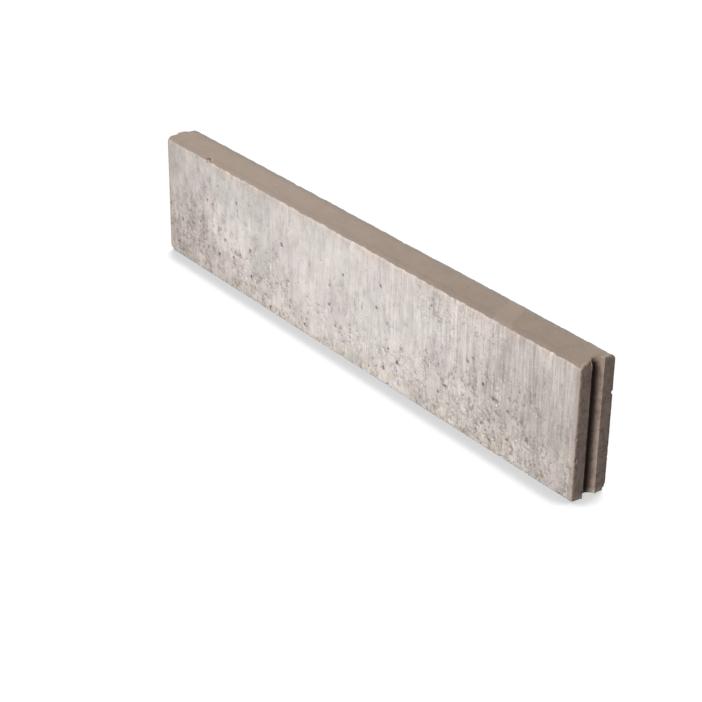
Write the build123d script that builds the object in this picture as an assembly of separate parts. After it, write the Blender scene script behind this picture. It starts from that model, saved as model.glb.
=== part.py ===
from build123d import *
import os

# Concrete kerb stone, cast in one piece, with a rounded top and a tongue-and-groove end joint.
# X runs along the stone, Y through its thickness and Z up. The origin is the centre of the foot,
# midway between the two shoulder faces. The groove is at +X and the tongue at -X.

# Driving dimensions, in millimetres
LENGTH = 1000.0             # from shoulder to shoulder, which is what one stone covers in a row
HEIGHT = 200.0
THICKNESS = 60.0
TOP_ROUNDING = 10.0         # radius along both top arrises
FOOT_ROUNDING = 3.0         # radius along both foot arrises
END_ROUNDING = 1.5          # radius round the end faces, where the mould's joints lie

GROOVE_WIDTH = 22.0         # across the mouth of the groove
GROOVE_DEPTH = 9.0          # from the shoulder face to the bottom of the groove
JOINT_CLEARANCE = 1.0       # gap left all round when a tongue stands in a groove
TONGUE_NOSE_ROUNDING = 5.0  # radius where the tongue's nose turns into its top and its foot

# Values that follow from the driving dimensions
HALF_LENGTH = LENGTH / 2
TONGUE_WIDTH = GROOVE_WIDTH - 2 * JOINT_CLEARANCE
TONGUE_DEPTH = GROOVE_DEPTH - JOINT_CLEARANCE
OVERRUN = 5.0               # how far cutting and joining shapes run past a face


def kerb_section():
    """The stone's cross-section, standing on the YZ plane with its foot at Z = 0."""
    outline = Rectangle(THICKNESS, HEIGHT, align=(Align.CENTER, Align.MIN))
    top_corners = outline.vertices().sort_by(Axis.Y)[-2:]
    outline = fillet(top_corners, TOP_ROUNDING)
    foot_corners = outline.vertices().sort_by(Axis.Y)[:2]
    outline = fillet(foot_corners, FOOT_ROUNDING)
    return Plane.YZ * outline


def joint_profile(width, depth, end_x, away):
    """A circular segment in plan, whose crown points along -X from the shoulder face at end_x.

    It is closed by a strip on the shoulder's other side, which runs away from the crown.
    """
    mouth = width / 2
    back_x = end_x + away
    crown = ThreePointArc((end_x, mouth), (end_x - depth, 0), (end_x, -mouth))
    strip = Polyline((end_x, -mouth), (back_x, -mouth), (back_x, mouth), (end_x, mouth))
    return make_face(crown + strip)


def body():
    """The plain length of kerb between its two shoulder faces."""
    return Pos(-HALF_LENGTH, 0, 0) * extrude(kerb_section(), LENGTH)


def groove_cutter():
    """The groove runs from top to foot, so its cutter passes both."""
    profile = joint_profile(GROOVE_WIDTH, GROOVE_DEPTH, HALF_LENGTH, OVERRUN)
    return Pos(0, 0, -OVERRUN) * extrude(profile, HEIGHT + 2 * OVERRUN)


def tongue():
    """The tongue stands the full height of the stone, and its nose is eased at top and foot."""
    profile = joint_profile(TONGUE_WIDTH, TONGUE_DEPTH, -HALF_LENGTH, OVERRUN)
    bar = extrude(profile, HEIGHT)
    side_view = Rectangle(TONGUE_DEPTH + OVERRUN, HEIGHT, align=(Align.MIN, Align.MIN))
    nose_corners = side_view.vertices().sort_by(Axis.X)[:2]
    side_view = fillet(nose_corners, TONGUE_NOSE_ROUNDING)
    standing = Plane.XZ * Pos(-HALF_LENGTH - TONGUE_DEPTH, 0) * side_view
    return bar & extrude(standing, THICKNESS / 2, both=True)


def end_edges(stone, end_x):
    """The edges that lie in the shoulder face at end_x."""
    return [edge for edge in stone.edges() if abs(edge.center().X - end_x) < 1e-3]


def kerb_stone():
    """The whole stone, with the edges round its grooved end and its tongued end eased."""
    stone = body() - groove_cutter()
    stone = fillet(end_edges(stone, HALF_LENGTH), END_ROUNDING)
    stone = fillet(end_edges(stone, -HALF_LENGTH), END_ROUNDING)
    return stone + tongue()


os.makedirs("parts", exist_ok=True)
export_step(kerb_stone(), "parts/kerb_stone.step")
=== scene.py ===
# The concrete kerb stone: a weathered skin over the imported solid, its concrete, a pale floor and
# soft studio light. Lengths are in metres.
import math

import bpy
from mathutils import Matrix, Vector


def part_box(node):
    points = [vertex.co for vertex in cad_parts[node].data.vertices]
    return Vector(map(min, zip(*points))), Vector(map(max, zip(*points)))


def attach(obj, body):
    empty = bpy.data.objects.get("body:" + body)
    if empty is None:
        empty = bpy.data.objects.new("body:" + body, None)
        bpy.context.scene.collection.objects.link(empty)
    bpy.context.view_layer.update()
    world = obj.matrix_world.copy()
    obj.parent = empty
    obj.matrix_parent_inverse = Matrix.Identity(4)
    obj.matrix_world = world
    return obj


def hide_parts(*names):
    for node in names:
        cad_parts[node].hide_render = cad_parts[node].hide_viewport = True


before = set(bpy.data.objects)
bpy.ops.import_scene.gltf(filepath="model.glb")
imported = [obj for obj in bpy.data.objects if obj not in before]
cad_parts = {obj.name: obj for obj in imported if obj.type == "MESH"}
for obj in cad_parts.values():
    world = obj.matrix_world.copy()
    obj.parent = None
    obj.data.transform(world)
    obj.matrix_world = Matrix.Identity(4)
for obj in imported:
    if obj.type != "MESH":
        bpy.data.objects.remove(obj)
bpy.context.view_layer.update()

# The stone's own sizes, from the frame
NODE = "kerb_stone"
BODY = "root"
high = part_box(NODE)[1]
SHOULDER = high.x                  # the grooved end's shoulder face, and the other one's mirror image
HALF_THICKNESS = high.y
HEIGHT = high.z
GROOVE_MOUTH = 0.011               # half the groove's width

# The mesh
WELD_GAP = 1e-5
GRID = 0.0013                      # spacing of its points before flat stretches are thinned
MOST_TRIANGLES = 190000
SHARP_ANGLE = 38                   # degrees, past which an edge is shaded as a crisp arris

# Depths of the relief, which are the inputs of the weathering
DEPTHS = {
    "Wave depth": 0.0005,
    "Drag depth": 0.00022,
    "Pit depth": 0.0018,
    "Torn depth": 0.0009,
    "Cast roughness": 0.0010,
    "Arris lumps": 0.0042,
    "Gouge depth": 0.0040,
}
FINE_DRAG_DEPTH = 0.0003           # these three are too fine for the mesh and are bump
FINE_PIT_DEPTH = 0.0006
FINE_GRAIN_DEPTH = 0.0002

# Noises: the grain's length, breadth and height, then detail, roughness and a shift in grains
NOISES = {
    "skin line": ((0.016, 0.016, 0.016), 4.0, 0.65, (0, 0, 0)),
    "fine drag": ((0.0042, 0.030, 0.055), 2.0, 0.80, (0, 0, 0)),
    "broad drag": ((0.013, 0.050, 0.080), 2.0, 0.60, (7, 3, 1)),
    "smear": ((0.018, 0.040, 0.035), 4.0, 0.70, (2, 9, 4)),
    "torn skin": ((0.0075, 0.010, 0.0085), 4.0, 0.75, (8, 2, 6)),
    "swirl": ((0.0105, 0.012, 0.012), 2.0, 0.60, (5, 6, 2)),
    "swirl breaks": ((0.014, 0.014, 0.014), 2.0, 0.50, (7, 7, 2)),
    "arris wear": ((0.010, 0.010, 0.010), 3.0, 0.50, (0, 0, 0)),
    "arris chips": ((0.016, 0.010, 0.014), 4.0, 0.65, (3, 8, 1)),
    "arris lumps": ((0.020, 0.020, 0.020), 5.0, 0.85, (5, 2, 2)),
    "wave": ((0.090, 0.090, 0.090), 1.0, 0.50, (0, 0, 0)),
    "cast skin": ((0.008, 0.008, 0.008), 3.0, 0.60, (0, 0, 0)),
    "tamped layers": ((0.006, 0.030, 0.0032), 2.0, 0.50, (0, 0, 0)),
    "rose tint": ((0.055, 0.055, 0.055), 2.0, 0.50, (1, 2, 3)),
    "straw tint": ((0.045, 0.050, 0.070), 3.0, 0.50, (8, 5, 3)),
    "peach breaks": ((0.025, 0.025, 0.025), 3.0, 0.50, (3, 3, 3)),
    "foot stain": ((0.030, 0.030, 0.016), 3.0, 0.50, (9, 1, 1)),
    "cloud": ((0.050, 0.030, 0.055), 3.0, 0.75, (6, 2, 8)),
    "blotch": ((0.012, 0.020, 0.018), 4.0, 0.80, (4, 4, 9)),
    "hairs": ((0.0023, 0.020, 0.040), 1.0, 0.50, (4, 1, 6)),
    "pocks": ((0.012, 0.012, 0.012), 2.0, 0.50, (0, 0, 0)),
    "fleck": ((0.0052, 0.006, 0.0065), 2.0, 0.50, (1, 8, 5)),
    "tick": ((0.0026, 0.006, 0.0070), 1.0, 0.50, (6, 3, 9)),
    "upright arris": ((0.012, 0.012, 0.012), 3.0, 0.50, (0, 0, 0)),
    "top mottle": ((0.030, 0.030, 0.030), 4.0, 0.60, (0, 0, 0)),
    "top specks": ((0.0045, 0.0045, 0.0045), 2.0, 0.50, (2, 2, 5)),
    "light patch": ((0.020, 0.020, 0.020), 2.0, 0.50, (0, 0, 0)),
    "end blotch": ((0.007, 0.007, 0.007), 4.0, 0.75, (3, 1, 7)),
    "crumbs and bounce": ((0.006, 0.006, 0.006), 2.0, 0.50, (2, 6, 1)),
    "end wear and highlight": ((0.006, 0.006, 0.006), 3.0, 0.70, (0, 0, 0)),
    "corner wear and highlight": ((0.005, 0.005, 0.005), 2.0, 0.50, (0, 0, 0)),
    "sand": ((0.0011, 0.0011, 0.0011), 2.0, 0.70, (0, 0, 0)),
}
RAGGED_SCALE = 260.0               # grains of the ragged edge in a metre
RAGGED = 0.004                     # how far it shifts the edges of chips and pits
CORE = 0.3                         # the share of a mark's reach within which it is at full strength
PIT_SPACING = (0.0105, 0.0105, 0.0126)
PITS_WHERE_SMOOTH = 0.03           # the share of spacings that hold a pit
PITS_WHERE_OPEN = 0.25             # what is added to it where the face is open
PIT_REACH = 0.39                   # the largest scattered pit and the breadth of its edge, in spacings
PIT_EDGE = 0.13
GRIT_SPACING = (0.0042, 0.0042, 0.0042)

# Stretches over which a share rises from 0 at the first place to 1 at the second.
# Heights are above the foot, and the other places are along and across from the stone's middle.
OPEN_LOW_DOWN = (0.15, 0.02)
UNDER_TOP_ARRIS = (0.176, 0.193)
TOP_SHADE = (0.186, 0.193)
FOOT_SHADE = (0.016, 0.003)
FOOT_STAIN = (0.050, 0.006)
FOOT_CHIPS = (0.012, 0.004)
# the next is where the ends' foot lightens: real crumbs, and painted light bounced up from the floor
FOOT_CRUMBS_AND_BOUNCE = (0.009, 0.004)
MAUVE_ALONG = (0.15, 0.40)         # towards the tongue
DULL_TO_GROOVE = (0.10, 0.52)
DULL_TO_TONGUE = (0.36, 0.52)      # towards the tongue
STREAKED_ALONG = (-0.10, 0.35)
STREAKED_UP = (0.02, 0.12)
ARRIS_UP = (0.184, 0.190)
REAR_ARRIS = (0.021, 0.026)
FRONT_ARRIS = (-0.026, -0.029)
CORNER_UP = (0.180, 0.190)
CORNER_ALONG = (0.4915, 0.4975)    # this and the next three count both ways from the middle
JOINT_ALONG = (0.484, 0.488)
JOINT_ACROSS = (0.0165, 0.0140)
ROUNDED_TOP = (0.019, 0.025)
DULL_TOP_ALONG = (-0.3, 0.5)
REAR_OF_TOP = (0.012, 0.019)
GROOVED_END = (0.40, 0.45)

# Stretches measured from a face, an edge or a line of the stone
BELOW_TOP = (0.004, 0.010)
BELOW_SKIN_LINE = (0.0, 0.0003)
PAST_MITRE = (-0.0002, 0.0004)     # the mitre between a long face and an end
FROM_SHOULDER = (0.009, 0.002)
BEYOND_MEAN = (0.0003, 0.0012)     # how far an arris stands out from the mean around it
LIP_INNER = (-0.0009, -0.0003)     # from the edge of the groove's mouth
LIP_OUTER = (0.0026, 0.0020)
LIP_DEEP = (0.0028, 0.0020)        # this and the next two count from the shoulder face
# the next is where the painted shade in the groove deepens
GROOVE_SHADE_DEPTHS = (0.003, 0.007)
SHADE_DARKENS = (0.0020, 0.0045)
SHADE_ACROSS = (0.0070, 0.0040)    # from the middle of the deep shade behind the groove's near lip
SHADE_MIDDLE = -0.0030
LIGHT_PATCH = (0.020, 0.014)       # from the patch's own middle
LIGHT_PATCH_MIDDLE = 0.33
SKIN_LINE = 0.1950                 # height on the top arris where the tan skin meets the drawn face
SKIN_LINE_SWAY = 0.006
UPRIGHT_ARRIS_SWAY = 0.012
LIGHT_PATCH_SWAY = 0.02

# Passes of easing, and the arris mark that is stored for each metre that a place stands out
WEAR_PASSES = 3
CHIP_PASSES = 60
ARRIS_MARK = 300.0

# Places on the long faces: x, height, reach and strength of each patch
OPEN_PATCHES = (
    (-0.43, 0.07, 0.13, 0.13),     # the torn corner at the tongued end
    (0.34, 0.03, 0.22, 0.13),      # the pitted lower part towards the grooved end
    (0.35, 0.16, 0.15, -0.04),
    (0.00, 0.15, 0.22, -0.05),     # the smoother middle
    (0.05, 0.04, 0.18, 0.05),
    (-0.46, 0.18, 0.10, -0.10),
    (-0.22, 0.02, 0.14, 0.07),
)
POCKED_PATCHES = (
    (0.25, 0.175, 0.07, 1.0),      # the pocked band under the top arris
    (0.19, 0.165, 0.05, 0.8),
    (0.33, 0.160, 0.06, 0.7),
)
PALE_PATCHES = (
    (0.28, 0.175, 0.09, 0.10),
    (0.43, 0.165, 0.09, 0.07),
    (0.35, 0.120, 0.11, -0.10),
    (0.46, 0.100, 0.07, -0.05),
    (0.20, 0.060, 0.12, -0.04),
    (0.45, 0.060, 0.10, -0.04),
    (0.28, 0.020, 0.10, 0.09),
    (0.42, 0.005, 0.10, 0.09),
    (0.10, 0.020, 0.09, 0.07),
    (0.15, 0.110, 0.07, 0.05),
    (-0.45, 0.200, 0.13, -0.12),
    (-0.24, 0.200, 0.12, -0.10),
    (-0.35, 0.165, 0.08, -0.09),
    (-0.35, 0.105, 0.06, 0.06),
    (-0.30, 0.100, 0.10, 0.05),
    (-0.38, 0.015, 0.10, -0.08),
    (-0.20, 0.040, 0.12, -0.06),
)

# The larger pits of the front face: x, height and reach
FACE_PITS = (
    (0.234, 0.055, 0.0048),
    (0.342, 0.079, 0.0042),
    (-0.329, 0.075, 0.0040),
    (0.343, 0.022, 0.0040),
    (0.329, 0.043, 0.0044),
    (0.367, 0.074, 0.0040),
    (-0.255, 0.083, 0.0042),
    (-0.253, 0.075, 0.0042),
    (-0.459, 0.067, 0.0044),
    (0.292, 0.122, 0.0040),
    (0.281, 0.114, 0.0042),
    (0.381, 0.096, 0.0038),
    (-0.008, 0.134, 0.0036),
    (0.075, 0.113, 0.0040),
    (0.410, 0.108, 0.0036),
    (-0.026, 0.044, 0.0038),
    (-0.199, 0.045, 0.0042),
    (-0.463, 0.091, 0.0042),
    (0.333, 0.015, 0.0044),
    (0.291, 0.044, 0.0042),
    (0.395, 0.070, 0.0042),
    (0.407, 0.048, 0.0046),
    (0.315, 0.034, 0.0040),
    (0.368, 0.031, 0.0048),
    (0.369, 0.094, 0.0040),
)

# Chips seen on the arrises: a place and how far each reaches. A gouge also gets painted shade inside.
GOUGES = (
    ((-0.3795, -0.0278, 0.1972), 0.0074),
    ((-0.3710, -0.0268, 0.1985), 0.0056),
)
CHIPS = (
    ((0.500, 0.030, 0.144), 0.004),
    ((0.499, -0.012, 0.199), 0.004),
    ((0.500, 0.030, 0.002), 0.006),
    ((-0.500, -0.029, 0.000), 0.009),
    ((-0.205, 0.028, 0.199), 0.010),
    ((0.065, 0.028, 0.199), 0.008),
)

# Colours, as sRGB bytes
TAN = (163, 146, 133)
TAN_DULL = (145, 129, 115)
# the next two are painted shade on the rounded top arrises, for the tan and its duller form
TAN_ARRIS_PAINTED_SHADE = (155, 140, 128)
ARRIS_DULL_PAINTED_SHADE = (142, 127, 115)
TAN_REAR = (144, 136, 126)
TAN_LIGHT = (170, 151, 137)
END_BROWN = (158, 140, 129)
END_DARK = (127, 112, 101)
# painted shade in the groove, and the painted shadow behind its near lip
GROOVE_PAINTED_SHADE = (84, 73, 64)
LIP_PAINTED_SHADOW = (50, 26, 12)
# worn concrete, also used for a painted highlight on arrises and painted floor bounce at the foot
WORN_AND_PAINTED_LIGHT = (186, 168, 154)
PITTED = (104, 92, 84)
# painted shade inside the gouge
GOUGE_PAINTED_SHADE = (66, 54, 46)
SHADED = (152, 139, 132)
SHADED_DEEP = (128, 115, 108)
MAUVE = (164, 148, 142)
SAND = (194, 180, 162)
PEACH = (206, 193, 184)
SAGE = (208, 202, 197)
ROSE = (212, 203, 199)
STRAW = (210, 203, 193)
DULL = (168, 157, 151)
LIGHT = (232, 226, 222)

# A Mix node's two inputs and its output, for colours and for vectors
MIX_COLOURS = (6, 7, 2)
MIX_VECTORS = (4, 5, 1)

# The concrete's finish
CONCRETE_ROUGHNESS = 0.92
CONCRETE_SPECULAR = 0.3
SAND_SHARE = 0.14
SAND_STOPS = [(0.3, (0, 0, 0, 1)), (0.7, (1, 1, 1, 1))]

# The floor and its shadow. The floor looks for open sky along the lean: up, rearward and
# towards the tongue.
FLOOR_SIDE = 8.0
FLOOR_GAP = 0.0002
FLOOR_WHITE = 0.98
FLOOR_THIN = 0.06                  # the grey that takes the lamps' own shadow, as the camera sees it
FLOOR_GREY = 0.10                  # the grey that other rays see
SHADOW_DARK = 0.615
SHADOW_REACH = 0.05
SHADOW_LEAN = (-0.50, 0.60, 0.62)
SHADOW_SKY = (0.50, 0.69)          # shares of open sky at which the floor is dark and white
SHADOW_SAMPLES = 16

# The light: the world's level, and each lamp's direction, level and spread in degrees
WORLD_LIGHT = 0.04
LAMPS = {
    "key": ((0.24, -0.84, 0.54), 1.20, 28),
    "fill": ((-0.45, 0.80, 0.25), 1.05, 60),
}

# Camera, fitted to the photograph's edges
PICTURE = 702                      # pixels each way
FOCAL = 1857.8                     # pixels
AZIMUTH = 53.71                    # degrees, round from the front face towards the grooved end
ELEVATION = 26.71
ROLL = 0.70
CAMERA_SIDE = -0.01531             # the camera's place along its own axes, from the stone's origin
CAMERA_UP = 0.00457
CAMERA_BACK = 2.78074
SENSOR = 36.0                      # millimetres
FARTHEST = 50.0                    # how far the camera sees


def linear(colour):
    """An sRGB byte colour as the linear RGBA that nodes take."""
    parts = []
    for byte in colour:
        share = byte / 255
        parts.append(share / 12.92 if share <= 0.04045 else ((share + 0.055) / 1.055) ** 2.4)
    return (*parts, 1.0)


class Value:
    """A number or vector that varies over the stone. Sums and products of values add Math nodes."""

    def __init__(self, weave, socket):
        self.weave = weave
        self.socket = socket

    def math(self, operation, *others):
        sockets = dict(enumerate((self, *others)))
        return self.weave.node("ShaderNodeMath", {"operation": operation}, sockets)

    def __add__(self, other):
        return self.math("ADD", other)

    def __sub__(self, other):
        return self.math("SUBTRACT", other)

    def __mul__(self, other):
        return self.math("MULTIPLY", other)

    def __truediv__(self, other):
        return self.math("DIVIDE", other)

    def __neg__(self):
        return self * -1.0

    def __rsub__(self, other):
        return -self + other

    __radd__ = __add__
    __rmul__ = __mul__

    def size(self):
        return self.math("ABSOLUTE")

    def least(self, other):
        return self.math("MINIMUM", other)

    def most(self, other):
        return self.math("MAXIMUM", other)

    def rise(self, start, end):
        """0 at start and 1 at end, with a smooth step between. start may be above end."""
        sockets = {"Value": self, "From Min": start, "From Max": end}
        if start > end:
            sockets = {"Value": self, "From Min": end, "From Max": start, "To Min": 1.0, "To Max": 0.0}
        return self.weave.node("ShaderNodeMapRange", {"interpolation_type": "SMOOTHSTEP"}, sockets)


class Weave:
    """Adds nodes to a shader or a geometry tree, so that both can share one pattern."""

    def __init__(self, tree):
        self.nodes = tree.nodes
        self.links = tree.links

    def node(self, kind, settings=None, sockets=None, output=0):
        """A node with its settings, then the values or links of its sockets."""
        made = self.nodes.new(kind)
        for name, value in (settings or {}).items():
            if name == "stops":
                self.set_stops(made.color_ramp, value)
            else:
                setattr(made, name, value)
        for place, value in (sockets or {}).items():
            if isinstance(value, Value):
                self.links.new(value.socket, made.inputs[place])
            else:
                made.inputs[place].default_value = value
        return Value(self, made.outputs[output]) if len(made.outputs) else None

    def set_stops(self, ramp, stops):
        for element, (place, colour) in zip(ramp.elements, stops):
            element.position = place
            element.color = colour

    def split(self, vector):
        """The three parts of a vector."""
        parts = self.node("ShaderNodeSeparateXYZ", {}, {0: vector})
        return tuple(Value(self, socket) for socket in parts.socket.node.outputs)

    def joined(self, x, y, z):
        """A vector of three parts."""
        return self.node("ShaderNodeCombineXYZ", {}, {"X": x, "Y": y, "Z": z})

    def vector(self, operation, first, second, output=0):
        return self.node("ShaderNodeVectorMath", {"operation": operation}, {0: first, 1: second}, output)

    def scaled(self, vector, factor):
        sockets = {0: vector, "Scale": factor}
        return self.node("ShaderNodeVectorMath", {"operation": "SCALE"}, sockets)

    def in_grains(self, point, grain, shift):
        """The point in units of a grain whose length, breadth and height are given."""
        stretched = self.vector("MULTIPLY", point, tuple(1 / part for part in grain))
        return self.vector("ADD", stretched, shift)

    def noise(self, point, name):
        """One of the noises in the table, between 0 and 1."""
        grain, detail, roughness, shift = NOISES[name]
        moved = self.in_grains(point, grain, shift)
        sockets = {"Vector": moved, "Scale": 1.0, "Detail": detail, "Roughness": roughness}
        return self.node("ShaderNodeTexNoise", {}, sockets)

    def cells(self, point, grain, shift=(0, 0, 0)):
        """Distance from the nearest of many scattered points, in grains."""
        moved = self.in_grains(point, grain, shift)
        return self.node("ShaderNodeTexVoronoi", {}, {"Vector": moved, "Scale": 1.0})

    def attribute(self, name):
        """A number that the weathering stored on the mesh."""
        return self.node("ShaderNodeAttribute", {"attribute_name": name}, {}, output="Fac")

    def mix(self, share, first, second, blend="MIX"):
        """Between two colours."""
        one, other, result = MIX_COLOURS
        settings = {"data_type": "RGBA", "blend_type": blend}
        return self.node("ShaderNodeMix", settings, {0: share, one: first, other: second}, result)

    def tinted(self, base, share, colour):
        """A base colour under an sRGB byte colour, which hides it where the share is 1."""
        return self.mix(share, base, linear(colour))

    def mix_points(self, share, first, second):
        """Between two vectors."""
        one, other, result = MIX_VECTORS
        sockets = {0: share, one: first, other: second}
        return self.node("ShaderNodeMix", {"data_type": "VECTOR"}, sockets, result)


def blank_weave(holder):
    """A weave over the emptied node tree of a material or a world."""
    holder.use_nodes = True
    holder.node_tree.nodes.clear()
    return Weave(holder.node_tree)


# Patterns that the geometry and the concrete share
def near(weave, point, centre, reach):
    """1 at a place and in the core round it, falling to 0 at a distance of reach from it."""
    gap = weave.vector("DISTANCE", point, centre, output="Value")
    return gap.rise(reach, reach * CORE)


def ragged(weave, point):
    """The point shifted by fine noise, so that a round mark gets an uneven edge."""
    sockets = {"Vector": point, "Scale": RAGGED_SCALE, "Detail": 2.0}
    shift = weave.node("ShaderNodeTexNoise", {}, sockets, output="Color")
    shift = weave.vector("SUBTRACT", shift, (0.5, 0.5, 0.5))
    return weave.vector("ADD", point, weave.scaled(shift, RAGGED))


def patches(weave, point, places):
    """The sum of soft patches on the two long faces, each with its x, height, reach and strength."""
    x, y, z = weave.split(point)
    flat = weave.joined(x, 0.0, z)
    total = None
    for along, height, reach, strength in places:
        patch = near(weave, flat, (along, 0.0, height), reach) * strength
        total = patch if total is None else total + patch
    return total


def drawn_face(weave, point):
    """1 on the two long faces that slid against the mould, 0 on the top, the ends and the foot."""
    x, y, z = weave.split(point)
    from_face = HALF_THICKNESS - y.size()
    from_end = SHOULDER - x.size()
    line = SKIN_LINE + (weave.noise(point, "skin line") - 0.5) * SKIN_LINE_SWAY
    return (line - z).rise(*BELOW_SKIN_LINE) * (from_end - from_face).rise(*PAST_MITRE)


def drag_marks(weave, point):
    """Upright marks from drawing the stone out of its mould, about -0.3 to 0.3."""
    fine = weave.noise(point, "fine drag")
    broad = weave.noise(point, "broad drag")
    return (fine - 0.5) + (broad - 0.5) * 0.7


def open_texture(weave, point):
    """Where the face wasn't smeared smooth and its sand shows, 0 to 1: mostly towards the foot."""
    x, y, z = weave.split(point)
    smear = weave.noise(point, "smear")
    low_down = z.rise(*OPEN_LOW_DOWN) * 0.10
    zones = patches(weave, point, OPEN_PATCHES)
    return (smear + low_down + zones).rise(0.46, 0.76)


def torn_spots(weave, point):
    """Irregular spots where the smeared skin tore, 0 to 1."""
    spot = weave.noise(point, "torn skin")
    return (spot + open_texture(weave, point) * 0.11).rise(0.61, 0.70)


def pits(weave, point):
    """Blowholes and lost sand grains of mixed sizes, 0 to 1: scattered, and at the front's places."""
    uneven = ragged(weave, point)
    gap = weave.cells(uneven, PIT_SPACING)
    chance = weave.split(Value(weave, gap.socket.node.outputs["Color"]))[0]
    share = open_texture(weave, point) * PITS_WHERE_OPEN + PITS_WHERE_SMOOTH
    reach = (chance - 1 + share).most(0.0) / share
    holes = (reach * PIT_REACH - gap).rise(0.0, PIT_EDGE)
    for along, height, size in FACE_PITS:
        holes = holes.most(near(weave, uneven, (along, -HALF_THICKNESS, height), size))
    return holes


def swirls(weave, point):
    """Thin winding lines where wet sand slid in the open places, 0 to 1."""
    line = (weave.noise(point, "swirl") - 0.5).size().rise(0.040, 0.010)
    broken = weave.noise(point, "swirl breaks").rise(0.44, 0.60)
    return line * broken * open_texture(weave, point)


def gouges(weave, point):
    """The deeper chips out of the front arris, 0 to 1."""
    uneven = ragged(weave, point)
    total = None
    for centre, size in GOUGES:
        gouge = near(weave, uneven, centre, size)
        total = gouge if total is None else total.most(gouge)
    return total


# The stone's shape
def neighbours_mean(weave, point, passes):
    """The mean place of the points around each one, which leaves the surface only at an arris."""
    sockets = {"Value": point, "Iterations": passes}
    return weave.node("GeometryNodeBlurAttribute", {"data_type": "FLOAT_VECTOR"}, sockets)


def arris_wear(weave, point, in_joint):
    """How far the arrises are rubbed down, 0 to 1, and less round the groove and the tongue."""
    return (weave.noise(point, "arris wear") * (0.9 - in_joint * 0.75)).least(1.0)


def arris_chips(weave, point, in_joint, lost):
    """Chips out of the arrises, 0 to 1: scattered ones and those at their own places."""
    x, y, z = weave.split(point)
    at_foot = z.rise(*FOOT_CHIPS) * 0.04
    chips = (weave.noise(point, "arris chips") + at_foot).rise(0.60, 0.68) * (0.8 - in_joint * 0.6)
    uneven = ragged(weave, point)
    for centre, reach in CHIPS:
        chips = chips.most(near(weave, uneven, centre, reach))
    return chips * lost.rise(*BEYOND_MEAN)


def sharp_lips(weave, point, chips):
    """A shift out to the shoulder: the mould left the groove's lips sharp, the solid has them eased."""
    x, y, z = weave.split(point)
    past_mouth = y.size() - GROOVE_MOUTH
    lip = past_mouth.rise(*LIP_INNER) * past_mouth.rise(*LIP_OUTER)
    lip = lip * x.rise(*(SHOULDER - depth for depth in LIP_DEEP)) * (1 - chips)
    return weave.joined((SHOULDER - x) * lip, 0.0, 0.0)


def relief(weave, point, given):
    """How deep each place lies under the plain surface."""
    x, y, z = weave.split(point)
    face_share = drawn_face(weave, point)
    wave = (weave.noise(point, "wave") - 0.5) * given["Wave depth"]
    marks = drag_marks(weave, point) * given["Drag depth"] * face_share * -1
    holes = pits(weave, point) * given["Pit depth"]
    torn = torn_spots(weave, point) * given["Torn depth"]

    # the top is smoother than the ends, which show the layers they were tamped in
    below_top = (HEIGHT - z).rise(*BELOW_TOP)
    cast = (weave.noise(point, "cast skin") - 0.5) * (below_top * 0.7 + 0.3)
    layers = (weave.noise(point, "tamped layers") - 0.5) * below_top * 0.5
    cast = (cast + layers) * given["Cast roughness"] * (1 - face_share)

    top_arris = z.rise(*ARRIS_UP) * (y.rise(*REAR_ARRIS) + y.rise(*FRONT_ARRIS) * 0.3)
    lumps = (weave.noise(point, "arris lumps") - 0.5) * top_arris * given["Arris lumps"]
    gouge = gouges(weave, point) * given["Gouge depth"]
    return wave + marks + (holes + torn) * face_share + cast + lumps + gouge


def weathering():
    """A tree that wears the arrises and marks the faces of a dense mesh of the stone."""
    tree = bpy.data.node_groups.new("kerb weathering", "GeometryNodeTree")
    face = tree.interface
    face.new_socket("Stone", in_out="INPUT", socket_type="NodeSocketGeometry")
    for name, size in DEPTHS.items():
        socket = face.new_socket(name, in_out="INPUT", socket_type="NodeSocketFloat")
        socket.default_value = size
    face.new_socket("Concrete", in_out="INPUT", socket_type="NodeSocketMaterial")
    face.new_socket("Stone", in_out="OUTPUT", socket_type="NodeSocketGeometry")

    weave = Weave(tree)
    inputs = weave.node("NodeGroupInput").socket.node.outputs
    given = {socket.name: Value(weave, socket) for socket in inputs}
    point = weave.node("GeometryNodeInputPosition")
    normal = weave.node("GeometryNodeInputNormal")
    x, y, z = weave.split(point)
    in_joint = y.size().rise(*JOINT_ACROSS) * x.size().rise(*JOINT_ALONG)

    worn = neighbours_mean(weave, point, WEAR_PASSES)
    chipped = neighbours_mean(weave, point, CHIP_PASSES)
    lost = weave.vector("DOT_PRODUCT", weave.vector("SUBTRACT", point, chipped), normal, output="Value")
    chips = arris_chips(weave, point, in_joint, lost)
    moved = weave.mix_points(arris_wear(weave, point, in_joint), point, worn)
    moved = weave.mix_points(chips, moved, chipped)
    moved = weave.vector("ADD", moved, sharp_lips(weave, point, chips))
    moved = weave.vector("SUBTRACT", moved, weave.scaled(normal, relief(weave, point, given)))
    sockets = {"Geometry": given["Stone"], "Position": moved}
    stone = weave.node("GeometryNodeSetPosition", {}, sockets)

    for name, value in (("arris", lost * ARRIS_MARK), ("gouge", gouges(weave, point))):
        sockets = {"Geometry": stone, "Name": name, "Value": value}
        stone = weave.node("GeometryNodeStoreNamedAttribute", {}, sockets)
    stone = weave.node("GeometryNodeSetShadeSmooth", {}, {"Geometry": stone})
    stone = weave.node("GeometryNodeRealizeInstances", {}, {"Geometry": stone})
    sockets = {"Geometry": stone, "Material": given["Concrete"]}
    stone = weave.node("GeometryNodeSetMaterial", {}, sockets)
    weave.node("NodeGroupOutput", {}, {0: stone})
    return tree


def set_input(modifier, name, value):
    """Sets a tree's named input on its modifier, by the socket's identifier."""
    for item in modifier.node_group.interface.items_tree:
        if item.in_out == "INPUT" and item.name == name:
            modifier[item.identifier] = value


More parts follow.
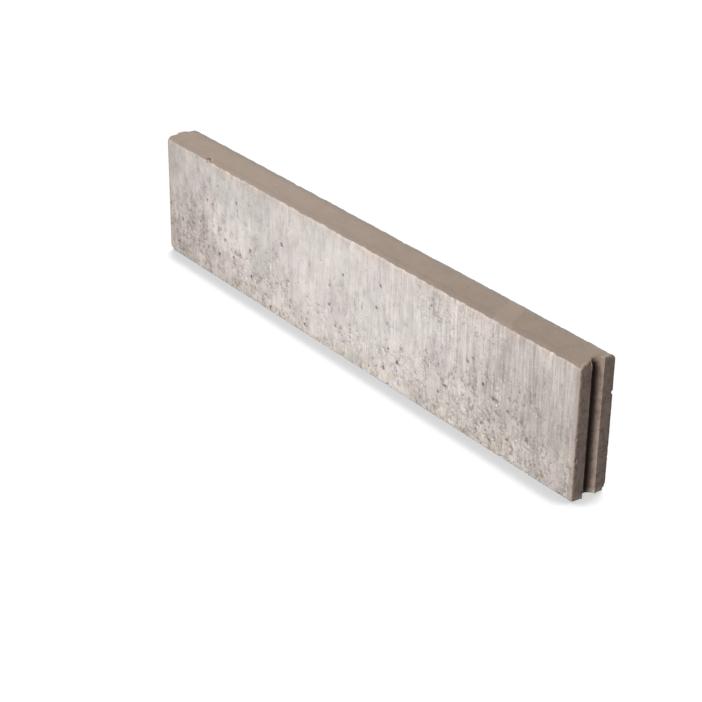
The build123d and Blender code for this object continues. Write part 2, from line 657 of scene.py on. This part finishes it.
def evaluated_mesh(piece):
    """The piece's mesh with its modifiers applied, as a new mesh."""
    bpy.context.view_layer.update()
    graph = bpy.context.evaluated_depsgraph_get()
    mesh = bpy.data.meshes.new_from_object(piece.evaluated_get(graph), depsgraph=graph)
    mesh.name = "stone"
    return mesh


def weathered_stone(concrete):
    """A dense copy of the solid, weathered, then thinned where it is flat."""
    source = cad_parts[NODE]
    piece = bpy.data.objects.new("weathered_stone", source.data.copy())
    bpy.context.scene.collection.objects.link(piece)
    weld = piece.modifiers.new("weld", "WELD")
    weld.merge_threshold = WELD_GAP
    remesh = piece.modifiers.new("remesh", "REMESH")
    remesh.mode = "VOXEL"
    remesh.voxel_size = GRID
    weather = piece.modifiers.new("weathering", "NODES")
    weather.node_group = weathering()
    set_input(weather, "Concrete", concrete)
    dense = evaluated_mesh(piece)
    piece.modifiers.clear()
    piece.data = dense

    thin = piece.modifiers.new("thin", "DECIMATE")
    thin.ratio = MOST_TRIANGLES / (2 * len(dense.polygons))
    final = evaluated_mesh(piece)
    final.set_sharp_from_angle(angle=math.radians(SHARP_ANGLE))
    piece.modifiers.clear()
    piece.data = final
    bpy.data.meshes.remove(dense)
    return piece


# The concrete
def smeared_tint(weave, point, open_share, under_arris):
    """The long faces' tints: sage and rose, straw, peach at the top, mauve and a sandy foot."""
    x, y, z = weave.split(point)
    rosy = weave.noise(point, "rose tint").rise(0.36, 0.62)
    face = weave.mix(rosy, linear(SAGE), linear(ROSE))
    warm = weave.noise(point, "straw tint").rise(0.50, 0.64)
    face = weave.tinted(face, warm * 0.5, STRAW)
    broken = weave.noise(point, "peach breaks").rise(0.38, 0.58) * 0.5 + 0.5
    face = weave.tinted(face, under_arris * broken * 0.75, PEACH)
    face = weave.tinted(face, open_share * (-x).rise(*MAUVE_ALONG) * 0.38, MAUVE)
    stain = weave.noise(point, "foot stain").rise(0.46, 0.62)
    face = weave.tinted(face, z.rise(*FOOT_STAIN) * stain * 0.55, SAND)
    dull = x.rise(*DULL_TO_GROOVE) * 0.54 + (-x).rise(*DULL_TO_TONGUE) * 0.50
    return weave.tinted(face, dull, DULL)


def smeared_tone(weave, point, open_share):
    """How light the long faces are, about 1: clouds, blotches, upright marks and patches."""
    x, y, z = weave.split(point)
    cloud = weave.noise(point, "cloud") - 0.5
    blotch = weave.noise(point, "blotch") - 0.5
    hairs = weave.noise(point, "hairs") - 0.5
    streaked = x.rise(*STREAKED_ALONG) * z.rise(*STREAKED_UP)
    marks = drag_marks(weave, point) * (streaked * 0.48 + 0.38)
    marks = marks + hairs * (streaked * 0.38 + 0.18)
    shade = z.rise(*FOOT_SHADE) * 0.05 + z.rise(*TOP_SHADE) * 0.06
    tone = cloud * (0.70 - streaked * 0.20) + blotch * (open_share * 0.9 + 0.44)
    tone = tone + marks - open_share * 0.03 - shade
    return tone + patches(weave, point, PALE_PATCHES) + 1.01


def sand_and_pits(weave, point, face, open_share, under_arris):
    """The face with its grit, flecks, swirls, torn spots and pits."""
    gap = weave.cells(point, GRIT_SPACING, (2, 7, 3))
    pocked = patches(weave, point, POCKED_PATCHES) * weave.noise(point, "pocks").rise(0.35, 0.6)
    rough = (open_share * 0.6).most(pocked)
    face = weave.tinted(face, gap.rise(0.50, 0.85) * rough * 0.50, SHADED)
    face = weave.tinted(face, gap.rise(0.28, 0.05) * rough * 0.70, LIGHT)
    fleck = weave.noise(point, "fleck").rise(0.66, 0.74)
    face = weave.tinted(face, fleck * (open_share * 0.5 + 0.4), LIGHT)
    tick = weave.noise(point, "tick").rise(0.66, 0.76)
    face = weave.tinted(face, tick * 0.55, LIGHT)
    face = weave.tinted(face, swirls(weave, point) * 0.45, SHADED_DEEP)
    face = weave.tinted(face, torn_spots(weave, point) * 0.50 * (1 - under_arris), PITTED)
    return weave.tinted(face, pits(weave, point) * 0.80 * (1 - under_arris), PITTED)


def long_face_colour(weave, point):
    """The two long faces, with the ends' tan skin showing along the upright arrises."""
    x, y, z = weave.split(point)
    open_share = open_texture(weave, point)
    under_arris = z.rise(*UNDER_TOP_ARRIS)
    face = smeared_tint(weave, point, open_share, under_arris)
    face = weave.scaled(face, smeared_tone(weave, point, open_share))
    face = sand_and_pits(weave, point, face, open_share, under_arris)
    sway = (weave.noise(point, "upright arris") - 0.5) * UPRIGHT_ARRIS_SWAY
    beside = (SHOULDER - x.size() + sway).rise(*FROM_SHOULDER)
    return weave.tinted(face, beside * 0.5, TAN)


def top_colour(weave, point):
    """The tamped top, duller towards the grooved end, with painted shade on its rounded arrises."""
    x, y, z = weave.split(point)
    along = x.rise(*DULL_TOP_ALONG) * 0.85 + (weave.noise(point, "top mottle") - 0.5) * 1.2
    top = weave.mix(along, linear(TAN), linear(TAN_DULL))
    specks = weave.noise(point, "top specks")
    top = weave.tinted(top, specks.rise(0.66, 0.74) * 0.35, WORN_AND_PAINTED_LIGHT)
    top = weave.tinted(top, specks.rise(0.33, 0.26) * 0.35, PITTED)
    # painted shade on the rounded arrises
    rounded = weave.mix(along, linear(TAN_ARRIS_PAINTED_SHADE), linear(ARRIS_DULL_PAINTED_SHADE))
    top = weave.mix(y.size().rise(*ROUNDED_TOP), top, rounded)
    top = weave.tinted(top, y.rise(*REAR_OF_TOP) * 0.7, TAN_REAR)
    sway = (weave.noise(point, "light patch") - 0.5) * LIGHT_PATCH_SWAY
    patch = (x + y * 0.5 + sway - LIGHT_PATCH_MIDDLE).size().rise(*LIGHT_PATCH)
    return weave.tinted(top, patch * 0.35, TAN_LIGHT)


def end_colour(weave, point, arris):
    """The ends: brown and blotched, with painted shade and a painted lip shadow in the groove, a crumbly
    foot partly lit by painted floor bounce, and worn arrises partly painted as a highlight.
    """
    x, y, z = weave.split(point)
    blotch = weave.noise(point, "end blotch") - 0.5
    dark = (blotch * 5 + 0.3).most(0.0).least(1.0)
    end = weave.mix(dark, linear(END_BROWN), linear(END_DARK))
    grooved = x.rise(*GROOVED_END)
    # painted shade deep in the groove, then the near lip's painted shadow over the groove floor
    floor = x.rise(*(SHOULDER - depth for depth in GROOVE_SHADE_DEPTHS)) * grooved
    end = weave.tinted(end, floor * y.size().rise(GROOVE_MOUTH, 0.0), GROOVE_PAINTED_SHADE)
    deep = x.rise(*(SHOULDER - depth for depth in SHADE_DARKENS)) * grooved
    lip_shadow = (y - SHADE_MIDDLE).size().rise(*SHADE_ACROSS) * deep
    end = weave.tinted(end, lip_shadow * 0.93, LIP_PAINTED_SHADOW)
    # lighter towards the foot: real crumbs, and painted light bounced up from the floor
    crumbs_and_bounce = z.rise(*FOOT_CRUMBS_AND_BOUNCE) * weave.noise(point, "crumbs and bounce").rise(0.28, 0.50)
    end = weave.tinted(end, crumbs_and_bounce * 0.95, WORN_AND_PAINTED_LIGHT)
    # worn arrises: real wear, and a painted highlight where an arris catches the light
    worn = arris.rise(0.35, 0.9) * weave.noise(point, "end wear and highlight").rise(0.48, 0.62)
    return weave.tinted(end, worn * 0.45, WORN_AND_PAINTED_LIGHT)


def cast_skin_colour(weave, point):
    """The top, the ends and the foot, with the corners at the top worn light, partly as a painted
    highlight.
    """
    x, y, z = weave.split(point)
    arris = weave.attribute("arris")
    below_top = (HEIGHT - z).rise(*BELOW_TOP)
    skin = weave.mix(below_top, top_colour(weave, point), end_colour(weave, point, arris))
    # the top corners: real wear, and a painted highlight
    corner = x.size().rise(*CORNER_ALONG) * z.rise(*CORNER_UP) * arris.rise(0.35, 0.9)
    return weave.tinted(skin, corner * weave.noise(point, "corner wear and highlight").rise(0.42, 0.60) * 0.6, WORN_AND_PAINTED_LIGHT)


def concrete_material():
    """Cast concrete: the drawn faces, the cast skin, the gouge with painted shade inside, loose sand and
    fine relief.
    """
    material = bpy.data.materials.new("cast concrete")
    weave = blank_weave(material)
    point = weave.node("ShaderNodeTexCoord", output="Object")
    drawn = drawn_face(weave, point)
    colour = weave.mix(drawn, cast_skin_colour(weave, point), long_face_colour(weave, point))
    # painted shade inside the gouge
    colour = weave.tinted(colour, weave.attribute("gouge").rise(0.15, 0.55) * 0.9, GOUGE_PAINTED_SHADE)
    sand = weave.noise(point, "sand")
    speck = weave.node("ShaderNodeValToRGB", {"stops": SAND_STOPS}, {0: sand})
    colour = weave.mix(SAND_SHARE, colour, speck, blend="OVERLAY")

    marks = drag_marks(weave, point) * FINE_DRAG_DEPTH * drawn
    height = marks - pits(weave, point) * FINE_PIT_DEPTH * drawn + sand * FINE_GRAIN_DEPTH
    bump = weave.node("ShaderNodeBump", {}, {"Strength": 1.0, "Distance": 1.0, "Height": height})
    shader = weave.node("ShaderNodeBsdfPrincipled", {}, {
        "Base Color": colour,
        "Roughness": CONCRETE_ROUGHNESS,
        "Specular IOR Level": CONCRETE_SPECULAR,
        "Normal": bump,
    })
    weave.node("ShaderNodeOutputMaterial", {}, {"Surface": shader})
    return material


# The studio
def background_rays(weave):
    """1 for the rays that see the white background: from the camera, off gloss and through glass."""
    rays = weave.node("ShaderNodeLightPath").socket.node.outputs
    seen = Value(weave, rays["Is Camera Ray"]).most(Value(weave, rays["Is Glossy Ray"]))
    return seen.most(Value(weave, rays["Is Transmission Ray"]))


def grey(level):
    """A linear grey."""
    return (level, level, level, 1)


def floor_material():
    """White to the camera, with a narrow soft shadow at the foot, and dark grey to the other rays."""
    material = bpy.data.materials.new("studio floor")
    weave = blank_weave(material)
    sockets = {"Distance": SHADOW_REACH, "Normal": weave.joined(*SHADOW_LEAN)}
    open_sky = weave.node("ShaderNodeAmbientOcclusion", {"samples": SHADOW_SAMPLES}, sockets, output="AO")
    glow = open_sky.rise(*SHADOW_SKY) * (FLOOR_WHITE - SHADOW_DARK) + SHADOW_DARK
    light = weave.node("ShaderNodeEmission", {}, {"Color": grey(1), "Strength": glow})
    thin = weave.node("ShaderNodeBsdfDiffuse", {}, {"Color": grey(FLOOR_THIN)})
    shown = weave.node("ShaderNodeAddShader", {}, {0: light, 1: thin})
    plain = weave.node("ShaderNodeBsdfDiffuse", {}, {"Color": grey(FLOOR_GREY)})
    both = weave.node("ShaderNodeMixShader", {}, {0: background_rays(weave), 1: plain, 2: shown})
    weave.node("ShaderNodeOutputMaterial", {}, {"Surface": both})
    return material


def studio_floor():
    """A plain floor just under the foot."""
    mesh = bpy.data.meshes.new("floor")
    quarters = ((-1, -1), (1, -1), (1, 1), (-1, 1))
    corners = [(x * FLOOR_SIDE, y * FLOOR_SIDE, -FLOOR_GAP) for x, y in quarters]
    mesh.from_pydata(corners, [], [(0, 1, 2, 3)])
    mesh.materials.append(floor_material())
    floor = bpy.data.objects.new("floor", mesh)
    bpy.context.scene.collection.objects.link(floor)


def studio_world():
    """A plain faint light all round, which is white where the background is seen."""
    world = bpy.data.worlds.new("studio")
    bpy.context.scene.world = world
    weave = blank_weave(world)
    level = background_rays(weave) * (1.0 - WORLD_LIGHT) + WORLD_LIGHT
    background = weave.node("ShaderNodeBackground", {}, {"Color": grey(1), "Strength": level})
    weave.node("ShaderNodeOutputWorld", {}, {"Surface": background})


def soft_lamp(name, towards, level, spread):
    """A sun in the direction given. A level of 1 lights a facing surface at its own colour."""
    lamp = bpy.data.lights.new(name, "SUN")
    lamp.energy = level * math.pi
    lamp.angle = math.radians(spread)
    piece = bpy.data.objects.new(name, lamp)
    piece.rotation_euler = Vector(towards).to_track_quat("Z", "Y").to_euler()
    bpy.context.scene.collection.objects.link(piece)


def camera():
    """The camera at the photograph's viewing angle, rolled about its own axis."""
    azimuth, elevation, roll = (math.radians(angle) for angle in (AZIMUTH, ELEVATION, ROLL))
    back = Vector((
        math.sin(azimuth) * math.cos(elevation),
        -math.cos(azimuth) * math.cos(elevation),
        math.sin(elevation),
    ))
    level_side = Vector((0, 0, 1)).cross(back).normalized()
    level_up = back.cross(level_side)
    side = math.cos(roll) * level_side + math.sin(roll) * level_up
    up = math.cos(roll) * level_up - math.sin(roll) * level_side
    place = CAMERA_SIDE * side + CAMERA_UP * up + CAMERA_BACK * back
    view = bpy.data.cameras.new("camera")
    view.sensor_width = SENSOR
    view.lens = FOCAL / PICTURE * SENSOR
    view.clip_end = FARTHEST
    piece = bpy.data.objects.new("camera", view)
    turn = Matrix((side, up, back)).transposed().to_4x4()
    piece.matrix_world = Matrix.Translation(place) @ turn
    bpy.context.scene.collection.objects.link(piece)
    bpy.context.scene.camera = piece


stone = weathered_stone(concrete_material())
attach(stone, BODY)
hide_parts(NODE)

camera()
studio_floor()
studio_world()
for name, (towards, level, spread) in LAMPS.items():
    soft_lamp(name, towards, level, spread)
bpy.context.scene.view_settings.view_transform = "Standard"
